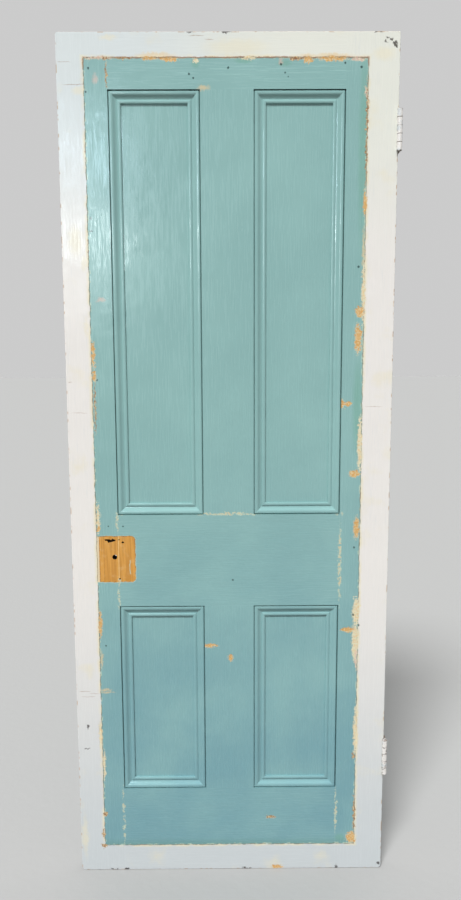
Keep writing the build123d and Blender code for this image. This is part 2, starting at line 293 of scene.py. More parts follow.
# Chips down to an old ochre coat
OCHRE_CHIPS = metres([
    (-176, 1951, 17, 4), (-132, 1950, 18, 5), (177, 1948, 9, 6), (232, 1950, 31, 5),
    (302, 1399, 10, 11), (299, 1339, 8, 32), (258, 1184, 11, 12), (277, 1186, 9, 4),
    (297, 1021, 12, 8), (303, 889, 7, 25), (289, 635, 14, 6), (277, 635, 8, 3),
    (303, 85, 12, 14), (309, 1640, 4, 26), (-316, 1302, 4, 29), (-316, 1254, 4, 12),
    (-316, 890, 4, 8), (-317, 652, 4, 33), (-47, 597, 17, 4), (-81, 598, 15, 2),
    (0, 564, 6, 8), (117, 5, 14, 6),
])

# Chips down to pink, to cream, and to a rust brown
PINK_CHIPS = metres([
    (290, 1949, 16, 4), (307, 1881, 3, 11), (308, 560, 3, 30), (-287, 1952, 30, 3),
])
CREAM_CHIPS = metres([
    (-71, 1947, 6, 5), (44, 1951, 17, 3), (307, 1093, 5, 62), (306, 681, 8, 34), (305, 605, 8, 45),
    (310, 374, 5, 60), (-316, 915, 4, 34), (-324, 363, 4, 36), (-317, 286, 3, 38), (309, 1440, 4, 60),
])
RUST_CHIPS = metres([
    (151, 1950, 16, 3), (-272, 1951, 7, 3), (-318, 152, 5, 7), (-322, 67, 7, 6), (-323, 100, 3, 11),
    (-230, 1952, 24, 1.5), (307, 306, 3, 9), (310, 152, 2, 48), (310, 1790, 1.6, 120),
    (-315, 1180, 2, 55), (98, 142, 12, 3), (-270, 1917, 2, 26),
])

# Knocks down to dark wood, on the corners and along the head and foot
DARK_CHIPS = metres([
    (368, 1982, 6, 4), (371, 1977, 4, 4), (349, 1986, 3, 3), (352, 1993, 2, 2), (361, 1991, 4, 2),
    (-358, 330, 6, 1.5), (-355, 387, 3, 6), (-298, 2, 10, 2), (-268, 2, 6, 4), (268, 4, 3, 6),
    (40, 1, 12, 2), (375, 14, 5, 4), (-84, 2006, 6, 2), (-4, 2006, 10, 2.5), (330, 2006, 9, 1.5),
])

# Paint flaked off over the joints
JOINT_FLAKES = metres([
    (-270, 906, 3.5, 24), (-269, 760, 3, 10), (-270, 722, 2.6, 32), (-271, 150, 2.4, 78),
    (264, 800, 3.5, 95), (263, 160, 3, 58), (-2, 925, 82, 2.6), (-270, 1917, 2, 28),
    (-262, 925, 14, 2), (264, 924, 9, 2.4),
])

# Nail holes of the sheet that covered the field
NAIL_HOLES = metres([
    (-310, 1931, 2.6, 3), (-316, 1881, 2, 2.5), (0, 1931, 2.6, 2.6), (117, 1939, 2.6, 2.6),
    (259, 1942, 2.2, 2.2), (296, 1933, 2.6, 2.6), (-313, 1610, 2.6, 3), (-313, 1581, 4, 2),
    (-309, 1245, 2, 2.4), (297, 1501, 2.6, 2.8), (298, 841, 2, 3), (299, 673, 2, 2.6),
    (313, 646, 2, 3), (-292, 896, 1.8, 1.8), (-257, 896, 1.8, 1.8), (-305, 597, 2.2, 2.2),
    (6, 762, 2.6, 2.4), (-78, 1910, 2.4, 2.2), (-87, 1919, 2.4, 2.2), (126, 1920, 1.8, 1.8),
    (133, 1912, 1.6, 1.6),
])

# Fine cracks in the white paint
CRACKS = metres([
    (-342, 1897, 24, 0.8), (-363, 1944, 15, 0.6), (-360, 480, 14, 0.7), (-336, 474, 12, 0.6),
    (-352, 466, 17, 0.5), (-372, 1240, 5, 0.6), (-352, 1168, 18, 0.5), (-70, 1998, 16, 0.8),
    (-42, 1990, 9, 0.8), (338, 1180, 20, 0.5),
])

# Patches of a leafier green within the field, and pale brush strokes under its head, which are in part a
# painted highlight on their ridges
GREEN_PATCHES = metres([
    (303, 1760, 10, 190), (275, 84, 12, 9), (34, 1946, 18, 5), (125, 1941, 14, 6), (-72, 1940, 8, 8),
    (300, 1180, 10, 90),
])
# In part a painted highlight along the ridges of the brush strokes
PALE_STROKES_AND_HIGHLIGHT = metres([
    (30, 1934, 46, 1.6), (75, 1927, 52, 1.4), (20, 1918, 60, 1.6), (120, 1930, 38, 1.4),
    (170, 1921, 50, 1.3), (205, 1934, 44, 1.4), (-20, 1929, 26, 1.3), (250, 1925, 24, 1.4),
    (90, 1909, 40, 1.2), (-100, 1921, 24, 1.3),
])

# Cream stains on the white, and hazes and smudges of old paint that shows through
STAINS = metres([
    (-333, 1885, 13, 7), (-265, 1995, 16, 6), (345, 1960, 22, 12), (18, 1974, 60, 16),
    (-370, 95, 6, 50), (-331, 1511, 6, 17), (-331, 1366, 5, 20), (-350, 1560, 14, 30),
])
HAZES = metres([
    (-160, 1957, 36, 6), (232, 1956, 34, 5), (177, 1954, 14, 6), (-55, 1889, 12, 5),
    (-309, 484, 13, 3), (-303, 477, 15, 2), (-316, 560, 3, 20), (308, 1530, 3, 50),
])
SMUDGES = metres([
    (-295, 1909, 5, 10), (-294, 1427, 10, 4), (117, 1944, 4, 8),
])


def opening_at(name):
    """The left, right, bottom and top of an opening, from the mouldings that line it."""
    low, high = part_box(f"front_{name}_moulding_bottom")
    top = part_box(f"front_{name}_moulding_top")[1][2]
    return low[0], high[0], low[2], top


OPENINGS = [opening_at(name) for name in ("upper_left", "upper_right", "lower_left", "lower_right")]


class Mix:
    """The nodes of a material or of the world, joined one by one."""

    def __init__(self, tree):
        self.tree = tree

    def fill(self, socket, value):
        """Gives a socket a number, a colour, or another node's output."""
        if isinstance(value, bpy.types.NodeSocket):
            self.tree.links.new(value, socket)
        else:
            socket.default_value = value

    def node(self, kind, result, inputs, **settings):
        """Adds a node, fills its inputs by name or number, and returns one of its outputs."""
        node = self.tree.nodes.new("ShaderNode" + kind)
        for setting, value in settings.items():
            setattr(node, setting, value)
        for key, value in inputs.items():
            self.fill(node.inputs[key], value)
        return node.outputs[result]

    def sum(self, operation, first, second=0.0):
        """A calculation on one or two numbers."""
        return self.node("Math", "Value", {0: first, 1: second}, operation=operation)

    def plus(self, first, second):
        """Two numbers added."""
        return self.sum("ADD", first, second)

    def minus(self, first, second):
        """The first number less the second."""
        return self.sum("SUBTRACT", first, second)

    def times(self, first, second):
        """Two numbers multiplied."""
        return self.sum("MULTIPLY", first, second)

    def over(self, first, second):
        """The first number divided by the second."""
        return self.sum("DIVIDE", first, second)

    def larger(self, first, second):
        """The larger of two numbers."""
        return self.sum("MAXIMUM", first, second)

    def smaller(self, first, second):
        """The smaller of two numbers."""
        return self.sum("MINIMUM", first, second)

    def unsigned(self, value):
        """A number without its sign."""
        return self.sum("ABSOLUTE", value)

    def opposite(self, amount):
        """1 where an amount is 0, and 0 where it is 1."""
        return self.minus(1.0, amount)

    def rise(self, value, start, end):
        """0 before start and 1 past end, with a smooth rise between."""
        inputs = {"Value": value, "From Min": start, "From Max": end}
        return self.node("MapRange", "Result", inputs, interpolation_type="SMOOTHSTEP")

    def about(self, value, outer, inner):
        """1 within inner of zero to either side, and 0 beyond outer."""
        return self.rise(self.unsigned(value), outer, inner)

    def between(self, value, low, high):
        """How far a number lies between low and high, and below 0 outside them."""
        return self.smaller(self.minus(value, low), self.minus(high, value))

    def beyond(self, value, middle, reach):
        """How far a number lies past the reach to either side of a middle, and below 0 within it."""
        return self.minus(self.unsigned(self.minus(value, middle)), reach)

    def parts(self, place):
        """The x, y and z of a place."""
        split = self.tree.nodes.new("ShaderNodeSeparateXYZ")
        self.fill(split.inputs[0], place)
        return split.outputs

    def stretched(self, place, scale):
        """A place with each direction scaled by its own number."""
        return self.node("VectorMath", "Vector", {0: place, 1: scale}, operation="MULTIPLY")

    def noise(self, place, scale, detail=2.0):
        """Cloudy noise from 0 to 1, with scale cycles to the metre."""
        return self.node("TexNoise", "Fac", {"Vector": place, "Scale": scale, "Detail": detail})

    def shaken(self, place, shakes):
        """A place moved about at random, up to half of each reach each way, to make outlines ragged."""
        for scale, reach in shakes:
            cloud = self.node("TexNoise", "Color", {"Vector": place, "Scale": scale, "Detail": 3.0})
            centred = self.node("VectorMath", "Vector", {0: cloud, 1: (0.5, 0.5, 0.5)}, operation="SUBTRACT")
            inputs = {0: centred, 1: (reach, reach, reach), 2: place}
            place = self.node("VectorMath", "Vector", inputs, operation="MULTIPLY_ADD")
        return place

    def blend(self, amount, first, second):
        """The first colour where amount is 0, and the second where it is 1."""
        return self.node("Mix", 2, {0: amount, 6: first, 7: second}, data_type="RGBA")

    def laid(self, base, shade, where, strength):
        """A shade laid over a base, at its full strength where it is 1 and not at all where it is 0."""
        return self.blend(self.times(where, strength), base, shade)

    def nearest(self, place, marks):
        """How near a place is to the nearest mark: under 1 within it, and above 1 outside."""
        reach = 9.0
        for x, z, half_width, half_height in marks:
            inputs = {
                "Vector": place,
                "Location": (-x / half_width, 0, -z / half_height),
                "Scale": (1 / half_width, 0, 1 / half_height),
            }
            offset = self.node("Mapping", "Vector", inputs)
            length = self.node("VectorMath", "Value", {0: offset}, operation="LENGTH")
            reach = self.smaller(reach, length)
        return reach

    def spots(self, place, marks, softness):
        """1 within the marks and 0 outside them."""
        return self.rise(self.nearest(place, marks), 1 + softness, 1 - softness)


class Finish(Mix):
    """One material. Its patterns read the object's own coordinates, in metres."""

    def __init__(self, name):
        self.material = bpy.data.materials.new(name)
        self.material.use_nodes = True
        super().__init__(self.material.node_tree)
        self.shader = self.tree.nodes["Principled BSDF"]
        self.place = self.tree.nodes.new("ShaderNodeTexCoord").outputs["Object"]

    def finish(self, base, roughness, height):
        """Ends the material: its colour, its roughness and a relief whose height is in millimetres."""
        self.fill(self.shader.inputs["Base Color"], base)
        self.fill(self.shader.inputs["Roughness"], roughness)
        relief = self.node("Bump", "Normal", {"Height": height, "Distance": 0.001, "Strength": 1.0})
        self.fill(self.shader.inputs["Normal"], relief)
        return self.material


def brushed(mix, along):
    """Brush marks from 0 to 1: long fine streaks, and broader ones that come and go."""
    drawn = mix.stretched(mix.place, along)
    fine = mix.noise(drawn, 560.0, detail=2.0)
    broad = mix.noise(drawn, 150.0, detail=3.0)
    return mix.plus(mix.times(fine, 0.6), mix.times(broad, 0.4))


def shine(mix, along):
    """Roughness of old gloss paint: bright streaks, and duller ones between them."""
    streaks = mix.noise(mix.stretched(mix.place, along), 400.0, detail=3.0)
    dull = mix.times(mix.rise(streaks, 0.42, 0.60), DULL_STREAKS)
    worn = mix.times(mix.noise(mix.place, 22.0, detail=3.0), DULL_WEAR)
    return mix.plus(worn, mix.plus(GLOSS, dull))


def uneven(mix, height, lumps):
    """A relief with the slow waves of the wood and the lumps of old paint added."""
    height = mix.plus(height, mix.times(mix.noise(mix.place, 9.0), WAVE_RELIEF))
    return mix.plus(height, mix.times(mix.noise(mix.place, 45.0, detail=3.0), lumps))


def green_coat(mix, streaks):
    """The green paint: a little bluer and darker low down as painted shade, cloudy, and streaked by the
    brush.
    """
    height = mix.parts(mix.place)[2]
    # Bluer and darker low down: painted shade
    base = mix.blend(mix.rise(height, *BLUER_SHADE_DOWN), GREEN, GREEN_LOW_SHADE)
    cloud = mix.rise(mix.noise(mix.place, 5.0, detail=4.0), 0.35, 0.75)
    base = mix.laid(base, GREEN_PALE, cloud, 0.5)
    return mix.laid(base, GREEN_PALE, mix.rise(streaks, 0.5, 0.75), 0.16)


def white_coat(mix, streaks):
    """The white paint: cool at the top left, partly as a painted bluish sheen, warm at the top right, greyer
    at the foot as painted shade, faintly brushed.
    """
    x, _, height = mix.parts(mix.place)
    # The cool top left is in part a painted bluish sheen
    top = mix.blend(mix.rise(x, *COOL_TO_WARM), WHITE_COOL_AND_SHEEN, WHITE_WARM)
    base = mix.blend(mix.rise(height, *HEAD_TONE), WHITE, top)
    # Greyer low down: painted shade
    base = mix.blend(mix.rise(height, *GREYER_SHADE_DOWN), base, WHITE_GREY)
    cloud = mix.rise(mix.noise(mix.place, 14.0, detail=4.0), 0.56, 0.8)
    base = mix.laid(base, CREAM, cloud, 0.5)
    return mix.laid(base, WHITE_GREY, mix.rise(streaks, 0.52, 0.8), 0.4)


def painted_gap_shade(mix, node):
    """Painted shade in the crack round the openings beside a piece: most at the head, where the light from
    above casts it, least at the foot.
    """
    low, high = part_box(node)
    x, _, z = mix.parts(mix.place)
    begins, full = GAP_CHANGE
    dark = 0.0
    for left, right, bottom, top in OPENINGS:
        if left > high[0] + GAP_SIDE or right < low[0] - GAP_SIDE or bottom > high[2] or top < low[2]:
            continue
        head = mix.rise(z, top - begins, top - full)
        foot = mix.rise(z, bottom + begins, bottom + full)
        change = mix.minus(mix.times(head, GAP_SHADE_AT_HEAD), mix.times(foot, GAP_SHADE_LESS_AT_FOOT))
        across = mix.beyond(x, (left + right) / 2, (right - left) / 2)
        upright = mix.beyond(z, (bottom + top) / 2, (top - bottom) / 2)
        crack = mix.about(mix.larger(across, upright), GAP_SIDE, GAP_SIDE / 4)
        dark = mix.larger(dark, mix.times(crack, mix.plus(GAP_DARK, change)))
    return dark


def outer_wear(mix, base):
    """Bare wood in specks along the leaf's outer arrises, and all over its head and foot."""
    x, y, z = mix.parts(mix.place)
    low, high = LEAF
    from_edge = mix.smaller(mix.between(x, low[0], high[0]), mix.between(z, low[2], high[2]))
    from_face = mix.minus(-FRONT_FACE, mix.unsigned(y))
    arris = mix.rise(mix.larger(from_edge, from_face), *ARRIS_WEAR)
    specks = mix.rise(mix.noise(mix.place, 75.0, detail=4.0), 0.55, 0.63)
    base = mix.laid(base, PINE, mix.times(arris, specks), 0.7)
    grain = mix.rise(mix.noise(mix.stretched(mix.place, ALONG_X), 500.0), 0.4, 0.6)
    head = mix.rise(z, high[2] - HEAD_WOOD[0], high[2] - HEAD_WOOD[1])
    foot = mix.rise(z, *FOOT_WOOD)
    return mix.blend(mix.larger(foot, head), base, mix.blend(grain, PINE, PINE_DARK))


def field_depth(mix, place):
    """How far a place lies within the green field, in metres, and below 0 in the white rim."""
    x, _, z = mix.parts(place)
    return mix.smaller(mix.between(x, FIELD_LEFT, FIELD_RIGHT), mix.between(z, FIELD_BOTTOM, FIELD_TOP))


def lock_place_depth(mix, place):
    """How far a place lies within the bare place that the lock left, in metres, and below 0 outside it."""
    x, _, z = mix.parts(place)
    across = mix.beyond(x, LOCK_PLACE[0], LOCK_REACH[0] - LOCK_CORNER)
    upright = mix.beyond(z, LOCK_PLACE[1], LOCK_REACH[1] - LOCK_CORNER)
    corner = mix.node("CombineXYZ", "Vector", {"X": mix.larger(across, 0.0), "Y": mix.larger(upright, 0.0)})
    outside = mix.node("VectorMath", "Value", {0: corner}, operation="LENGTH")
    inside = mix.smaller(mix.larger(across, upright), 0.0)
    return mix.minus(LOCK_CORNER, mix.plus(outside, inside))


class FramingPaint(Finish):
    """Paint of one stile, rail or muntin, with what all its coats and marks go by."""

    def __init__(self, member, along):
        super().__init__(member + "_paint")
        self.member = member
        self.streaks = brushed(self, along)
        self.wavering = self.shaken(self.place, WAVERING)
        self.ragged = self.shaken(self.place, RAGGED)
        self.depth = field_depth(self, self.wavering)
        self.rim = self.rise(self.depth, *GREEN_TO_WHITE)
        y = self.parts(self.place)[1]
        self.front = self.rise(y, FRONT_FACE + MARKS_END[0], FRONT_FACE + MARKS_END[1])
        self.front_green = self.times(self.opposite(self.rim), self.front)
        speckle = self.noise(self.place, 300.0, detail=3.0)
        self.crumbs = self.times(self.minus(speckle, 0.5), 1.5)
        self.specks = self.rise(speckle, 0.42, 0.62)

    def found(self, marks):
        """The marks that reach this member's box."""
        low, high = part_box(self.member)
        return [
            mark for mark in marks
            if low[0] < mark[0] + mark[2] and mark[0] - mark[2] < high[0]
            and low[2] < mark[1] + mark[3] and mark[1] - mark[3] < high[2]
        ]

    def crumbled(self, marks):
        """How near the nearest mark is, with outlines that crumble into specks."""
        return self.plus(self.nearest(self.ragged, marks), self.crumbs)


def stains(paint, base):
    """Green patches, pale brush strokes that are in part a painted highlight, cream stains, ochre hazes and
    pink smudges, all soft.
    """
    for marks, shade, place, shown, strength in (
        (GREEN_PATCHES, GREEN_LEAF, paint.wavering, paint.front_green, 0.5),
        (PALE_STROKES_AND_HIGHLIGHT, GREEN_PALE, paint.wavering, paint.front, 0.7),
        (STAINS, CREAM, paint.ragged, paint.front, 0.45),
        (HAZES, OCHRE_PALE, paint.ragged, paint.front, 0.6),
        (SMUDGES, PINK, paint.ragged, paint.front, 0.55),
    ):
        found = paint.found(marks)
        if found:
            tint = paint.times(paint.spots(place, found, softness=0.6), shown)
            base = paint.laid(base, shade, tint, strength)
    return base


def rim_edge(paint, base):
    """Where the white paint meets the green: a cream fringe and a thin brown line, broader at the head."""
    z = paint.parts(paint.place)[2]
    patchy = paint.noise(paint.place, 26.0, detail=3.0)
    fringe = paint.times(paint.rise(paint.depth, *CREAM_FRINGE), paint.rise(patchy, 0.36, 0.6))
    base = paint.laid(base, CREAM, paint.times(fringe, paint.rim), 0.85)

    foot = paint.rise(z, FIELD_BOTTOM + FOOT_OF_FIELD, FIELD_BOTTOM)
    base = paint.laid(base, GREEN_DULL, paint.times(foot, paint.opposite(paint.rim)), 0.6)
    skim = paint.rise(paint.noise(paint.place, 90.0, detail=3.0), 0.5, 0.62)
    beside = paint.about(paint.minus(paint.depth, SKIM_DEPTH), *SKIM_LINE)
    base = paint.laid(base, SKIM, paint.times(beside, skim), 0.7)

    head = paint.rise(z, FIELD_TOP - HEAD_OF_FIELD[0], FIELD_TOP - HEAD_OF_FIELD[1])
    reach = paint.plus(LEDGE_REACH, paint.times(head, LEDGE_REACH_AT_HEAD))
    line = paint.rise(paint.over(paint.unsigned(paint.depth), reach), 1.2, 0.4)
    broken = paint.rise(paint.noise(paint.place, 70.0, detail=4.0), 0.35, 0.47)
    ledge = paint.times(line, paint.larger(broken, paint.times(head, 0.8)))
    shade = paint.blend(paint.larger(head, paint.rise(patchy, 0.56, 0.66)), OLIVE, RUST)
    return paint.laid(base, shade, ledge, 0.75), ledge


def lock_scratch(paint):
    """1 on the curved scratch down the bare place, and 0 elsewhere."""
    x, _, z = paint.parts(paint.place)
    up = paint.minus(z, SCRATCH_MIDDLE[1])
    bow = paint.times(paint.times(up, up), SCRATCH_BOW)
    drift = paint.plus(paint.minus(x, SCRATCH_MIDDLE[0]), bow)
    wander = paint.times(paint.minus(paint.noise(paint.place, 150.0), 0.5), SCRATCH_WANDER)
    scratch = paint.about(paint.plus(drift, wander), *SCRATCH_LINE)
    return paint.times(scratch, paint.about(up, *SCRATCH_REACH))


def lock_wood(paint):
    """Old ochre paint and wood under the lock: upright streaks, a pale joint, a scratch and a cream strip."""
    x = paint.parts(paint.place)[0]
    grain = paint.noise(paint.stretched(paint.place, LOCK_GRAIN), 240.0, detail=3.0)
    wood = paint.laid(OCHRE, OCHRE_DEEP, paint.rise(grain, 0.58, 0.42), 0.75)
    cloud = paint.rise(paint.noise(paint.place, 60.0), 0.5, 0.75)
    wood = paint.laid(wood, OCHRE_PALE, cloud, 0.25)
    joint = paint.about(paint.minus(x, LOCK_STILE_JOINT), *JOINT_LINE)
    wood = paint.laid(wood, BARE_PALE, joint, 0.8)
    wood = paint.laid(wood, SKIM, lock_scratch(paint), 0.65)
    return paint.laid(wood, CREAM, paint.rise(x, LOCK_SEAM, LOCK_SEAM - LOCK_CREAM), 0.75)


def bare_lock_place(paint, base):
    """The bare place that the rim lock left, with a worn rust line and a thin skim of paint round it."""
    x = paint.parts(paint.place)[0]
    depth = lock_place_depth(paint, paint.wavering)
    flecks = paint.rise(paint.noise(paint.place, 260.0), 0.45, 0.58)
    seam = paint.about(paint.minus(x, LOCK_SEAM), *SEAM_LINE)
    line = paint.about(paint.minus(depth, LOCK_LINE_DEPTH), *RUST_LINE)
    worn_line = paint.times(paint.larger(line, seam), flecks)
    wood = paint.laid(lock_wood(paint), RUST, worn_line, 0.8)
    bare = paint.times(paint.rise(depth, -0.0003, 0.0004), paint.front_green)
    halo = paint.times(paint.about(depth, *SKIM_ROUND_LOCK), paint.front_green)
    base = paint.laid(base, SKIM, halo, 0.35)
    return paint.blend(bare, base, wood), bare


def hole_sides(paint):
    """1 on the sides of the spindle hole and of the torn places, which are painted dark as shade, and 0
    elsewhere.
    """
    y = paint.parts(paint.place)[1]
    inside = paint.rise(lock_place_depth(paint, paint.place), 0.0, 0.002)
    below = paint.rise(paint.unsigned(y), -FRONT_FACE - HOLE_SIDES[0], -FRONT_FACE - HOLE_SIDES[1])
    return paint.times(inside, below)


def joint_flakes(paint, base):
    """Paint flaked off in specks over the joints."""
    found = paint.found(JOINT_FLAKES)
    if not found:
        return base
    broken = paint.rise(paint.noise(paint.place, 120.0, detail=4.0), 0.40, 0.50)
    flaked = paint.times(paint.rise(paint.crumbled(found), *FLAKE_OUTLINE), paint.front)
    shade = paint.blend(paint.specks, SKIM, OCHRE_PALE)
    return paint.laid(base, shade, paint.times(flaked, broken), 0.8)


def chips(paint, base, chipped):
    """Paint chipped off in specks, down to cream, pink, rust and ochre, each with a pale broken edge."""
    for marks, ground, speck in (
        (CREAM_CHIPS, CREAM, OCHRE_PALE), (PINK_CHIPS, PINK, CREAM),
        (RUST_CHIPS, RUST, OCHRE_PALE), (OCHRE_CHIPS, OCHRE, OCHRE_PALE),
    ):
        found = paint.found(marks)
        if found:
            near = paint.crumbled(found)
            bare = paint.times(paint.rise(near, *CHIP_OUTLINE), paint.front)
            edge = paint.times(paint.about(paint.minus(near, 1.0), *CHIP_EDGE), paint.front)
            base = paint.laid(base, paint.blend(paint.specks, ground, speck), bare, 0.9)
            base = paint.laid(base, CREAM, edge, 0.45)
            chipped = paint.larger(chipped, bare)
    return base, chipped


def cracks_and_holes(paint, base):
    """Cracks, knocks down to dark wood, and nail holes."""
    for marks, shade, place, strength in (
        (CRACKS, RUST, paint.wavering, 0.5),
        (DARK_CHIPS, DARK_WOOD_AND_HOLE_SHADE, paint.ragged, 0.85),
        (NAIL_HOLES, GREEN_DARK, paint.wavering, 0.9),
    ):
        found = paint.found(marks)
        if found:
            holes = paint.times(paint.spots(place, found, softness=0.3), paint.front)
            base = paint.laid(base, shade, holes, strength)
    return base


def framing_relief(paint, ledge, chipped):
    """Height of a member's paint: the white coat stands on the green, and chips go through both."""
    brush = paint.minus(GREEN_BRUSH_RELIEF, paint.times(paint.rim, GREEN_BRUSH_RELIEF - WHITE_BRUSH_RELIEF))
    height = paint.plus(paint.times(paint.rim, WHITE_COAT_RELIEF), paint.times(paint.streaks, brush))
    height = paint.plus(height, paint.times(ledge, LEDGE_RELIEF))
    height = paint.minus(height, paint.times(chipped, CHIP_DEPTH))
    return uneven(paint, height, FRAMING_LUMPS)


def framing_paint(member, along):
    """Paint of one stile, rail or muntin: green field, white rim, and the chips, flakes and holes it has."""
    paint = FramingPaint(member, along)
    base = paint.blend(paint.rim, green_coat(paint, paint.streaks), white_coat(paint, paint.streaks))
    base = stains(paint, base)
    base, ledge = rim_edge(paint, base)
    base = outer_wear(paint, base)

    chipped = 0.0
    if member in LOCK_MEMBERS:
        base, chipped = bare_lock_place(paint, base)
    base = joint_flakes(paint, base)
    base, chipped = chips(paint, base, chipped)
    base = cracks_and_holes(paint, base)
    # Painted shade in the crack round the openings, darkest at their heads
    base = paint.blend(painted_gap_shade(paint, member), base, GREEN_DARK)
    shaded_hole_sides = 0.0
    if member in LOCK_MEMBERS:
        shaded_hole_sides = hole_sides(paint)
        # The sides of the holes painted almost black in the dark wood's colour: painted shade
        base = paint.laid(base, DARK_WOOD_AND_HOLE_SHADE, shaded_hole_sides, 0.98)

    rough = paint.times(paint.plus(chipped, shaded_hole_sides), BARE_ROUGHNESS)
    mirror = paint.minus(GREEN_MIRROR, paint.times(paint.rim, GREEN_MIRROR - WHITE_MIRROR))
    paint.fill(paint.shader.inputs["Specular IOR Level"], paint.times(mirror, paint.opposite(shaded_hole_sides)))
    return paint.finish(base, paint.plus(shine(paint, along), rough), framing_relief(paint, ledge, chipped))


def plain_green(node, along):
    """The green paint of a panel, or of a strip of moulding with painted shade in the gap beside it."""
    mix = Finish(node + "_paint")
    streaks = brushed(mix, along)
    base = green_coat(mix, streaks)
    brush = PANEL_BRUSH_RELIEF
    if "_moulding_" in node:
        # Painted shade in the crack beside the strip
        base = mix.blend(painted_gap_shade(mix, node), base, GREEN_DARK)
        brush = GREEN_BRUSH_RELIEF
    return mix.finish(base, shine(mix, along), uneven(mix, mix.times(streaks, brush), FINER_LUMPS))


def wedge_paint():
    """The white paint by itself, on the ends of the wedges."""
    mix = Finish("wedge_paint")
    streaks = brushed(mix, ALONG_Z)
    base = outer_wear(mix, white_coat(mix, streaks))
    return mix.finish(base, shine(mix, ALONG_Z), mix.times(streaks, WEDGE_BRUSH_RELIEF))


def rusty_iron(mix):
    """Dull iron with rust in specks."""
    rust = mix.rise(mix.noise(mix.place, 210.0, detail=4.0), 0.48, 0.62)
    return mix.laid(IRON, IRON_RUST, rust, 0.8)


def knuckle_seams(mix, z, upper):
    """1 in the seams between knuckles, and 0 elsewhere. Upper is 1 on the upper hinge and 0 on the lower."""
    centre = mix.plus(HINGE_HEIGHTS[0], mix.times(upper, HINGE_HEIGHTS[1] - HINGE_HEIGHTS[0]))
    knuckle = mix.over(mix.minus(z, centre), KNUCKLE_PITCH)
    from_middle = mix.unsigned(mix.minus(mix.sum("FRACT", mix.plus(knuckle, 10.5)), 0.5))
    return mix.rise(from_middle, 0.43, 0.48)


def hinge_paint():
    """Thick white paint on the knuckles, chipped and open at the seams, and rusty iron on the flats."""
    mix = Finish("hinge_paint")
    _, y, z = mix.parts(mix.place)
    upper = mix.sum("GREATER_THAN", z, sum(HINGE_HEIGHTS) / 2)
    flat = mix.rise(y, PIN_PLACE[1] + KNUCKLES_END, PIN_PLACE[1] + FLATS_BEGIN)
    base = mix.blend(mix.rise(mix.noise(mix.place, 60.0), 0.5, 0.7), WHITE, WHITE_GREY)

    patchy = mix.noise(mix.place, 230.0, detail=4.0)
    chipped = mix.rise(mix.plus(patchy, mix.times(mix.opposite(upper), 0.05)), 0.63, 0.67)
    open_seam = mix.times(knuckle_seams(mix, z, upper), mix.rise(patchy, 0.36, 0.5))
    lost = mix.larger(chipped, mix.times(open_seam, 0.85))
    kept = mix.rise(mix.noise(mix.place, 75.0, detail=4.0), 0.60, 0.64)
    bare_flat = mix.times(flat, mix.minus(0.95, mix.times(kept, 0.75)))
    bare = mix.larger(mix.times(lost, mix.opposite(flat)), bare_flat)

    base = mix.blend(bare, base, rusty_iron(mix))
    lumps = mix.times(mix.noise(mix.place, 120.0, detail=1.0), HINGE_LUMPS)
    height = mix.minus(lumps, mix.times(bare, HINGE_CHIP_DEPTH))
    return mix.finish(base, mix.plus(HINGE_GLOSS, mix.times(bare, BARE_ROUGHNESS)), height)


def screw_steel():
    """Dull steel of the screws, with rust gathered in specks."""
    mix = Finish("screw_steel")
    mix.shader.inputs["Metallic"].default_value = 0.85
    scratches = mix.noise(mix.place, 900.0, detail=2.0)
    return mix.finish(rusty_iron(mix), mix.plus(0.32, mix.times(scratches, 0.2)), scratches)


def give(node, material):
    """Puts a material on a CAD node."""
    mesh = nodes[node].data
    mesh.materials.clear()
    mesh.materials.append(material)


def paint_the_door():
    """Gives every CAD node of the wood and the hinges its paint, brushed along its length."""
    for member, along in (
        ("hinge_stile", ALONG_Z), ("lock_stile", ALONG_Z), ("top_rail", ALONG_X), ("lock_rail", ALONG_X),
        ("bottom_rail", ALONG_X), ("upper_muntin", ALONG_Z), ("lower_muntin", ALONG_Z),
    ):
        give(member, framing_paint(member, along))
    for node in nodes:
        if node.endswith(("_panel", "_moulding_left", "_moulding_right")):
            give(node, plain_green(node, ALONG_Z))
        if node.endswith(("_moulding_top", "_moulding_bottom")):
            give(node, plain_green(node, ALONG_X))
    wedges = wedge_paint()
    for node in ("lock_stile_wedges", "hinge_stile_wedges"):
        give(node, wedges)
    hinges = hinge_paint()
    for node in ("fixed_hinge_leaves", "swinging_hinge_leaves", "hinge_pins"):
        give(node, hinges)


def pick_faces(piece, wanted):
    """In edit mode, selects just the faces whose middle and normal are as wanted."""
    bpy.ops.object.mode_set(mode="OBJECT")
    for part in (*piece.data.vertices, *piece.data.edges):
        part.select = False
    for face in piece.data.polygons:
        face.select = wanted(face.center, face.normal)
    bpy.ops.object.mode_set(mode="EDIT")


def turned_screw():
    """A countersunk screw with no slot yet: its head's face at the origin, and its point towards -X."""
    bpy.ops.object.select_all(action="DESELECT")
    bpy.ops.mesh.primitive_cylinder_add(
        vertices=SCREW_SIDES,
        radius=SCREW_HEAD,
        depth=SCREW_RIM,
        location=(-SCREW_RIM / 2, 0, 0),
        rotation=(0, math.pi / 2, 0),
    )
    screw = bpy.context.object
    bpy.ops.object.transform_apply(location=True, rotation=True, scale=True)
    bpy.context.tool_settings.mesh_select_mode = (False, False, True)
    pick_faces(screw, lambda middle, normal: normal.x < -ALONG_THE_SCREW)
    for step, narrowing in SCREW_STEPS:
        bpy.ops.mesh.extrude_region_move(TRANSFORM_OT_translate={"value": (-step, 0, 0)})
        middle = (-SCREW_RIM, 0, 0)
        bpy.ops.transform.resize(value=(1, narrowing, narrowing), center_override=middle)
    return screw


